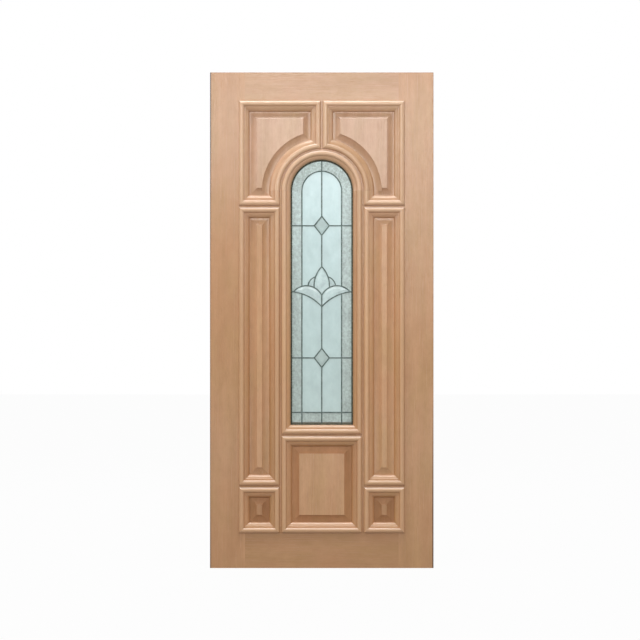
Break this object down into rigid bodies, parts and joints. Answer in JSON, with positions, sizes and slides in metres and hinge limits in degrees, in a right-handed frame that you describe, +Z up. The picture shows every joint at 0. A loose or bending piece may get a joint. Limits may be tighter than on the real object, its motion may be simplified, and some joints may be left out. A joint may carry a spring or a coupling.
{
  "type": "leadlight door leaf",
  "caption": "Timber entrance door leaf with raised panels, bolection mouldings and an arched leadlight with a tulip between diamonds.",
  "frame": {"origin": "foot of the hinge edge, at the middle of the leaf's thickness", "axes": "+X across the leaf away from the hinge edge, +Y through its thickness away from the outer face, +Z up"},
  "size_m": [0.92, 0.0632, 2.04],
  "materials": {
    "stile_timber": "satin",
    "rail_timber": "satin",
    "panel_timber": "satin",
    "moulding_timber": "satin",
    "lead": "satin",
    "border_glass": "matte",
    "field_glass": "satin",
    "bevelled_glass": "gloss"
  },
  "bodies": {
    "root": {"hinge_stile": "stile_timber", "lock_stile": "stile_timber", "left_mullion": "stile_timber", "right_mullion": "stile_timber", "top_mullion": "stile_timber", "top_rail": "rail_timber", "bottom_rail": "rail_timber", "arch_head": "rail_timber", "left_upper_rail": "rail_timber", "right_upper_rail": "rail_timber", "left_lower_rail": "rail_timber", "right_lower_rail": "rail_timber", "sill_rail": "rail_timber", "bottom_panel": "panel_timber", "left_spandrel_panel": "panel_timber", "right_spandrel_panel": "panel_timber", "left_tall_panel": "panel_timber", "right_tall_panel": "panel_timber", "left_small_panel": "panel_timber", "right_small_panel": "panel_timber", "front_glass_moulding": "moulding_timber", "front_bottom_moulding": "moulding_timber", "front_left_spandrel_moulding": "moulding_timber", "front_right_spandrel_moulding": "moulding_timber", "front_left_tall_moulding": "moulding_timber", "front_right_tall_moulding": "moulding_timber", "front_left_small_moulding": "moulding_timber", "front_right_small_moulding": "moulding_timber", "back_glass_moulding": "moulding_timber", "back_bottom_moulding": "moulding_timber", "back_left_spandrel_moulding": "moulding_timber", "back_right_spandrel_moulding": "moulding_timber", "back_left_tall_moulding": "moulding_timber", "back_right_tall_moulding": "moulding_timber", "back_left_small_moulding": "moulding_timber", "back_right_small_moulding": "moulding_timber", "lead_cames": "lead", "border_glass": "border_glass", "field_glass": "field_glass", "diamond_glass": "bevelled_glass", "tulip_glass": "bevelled_glass"}
  },
  "joints": []
}
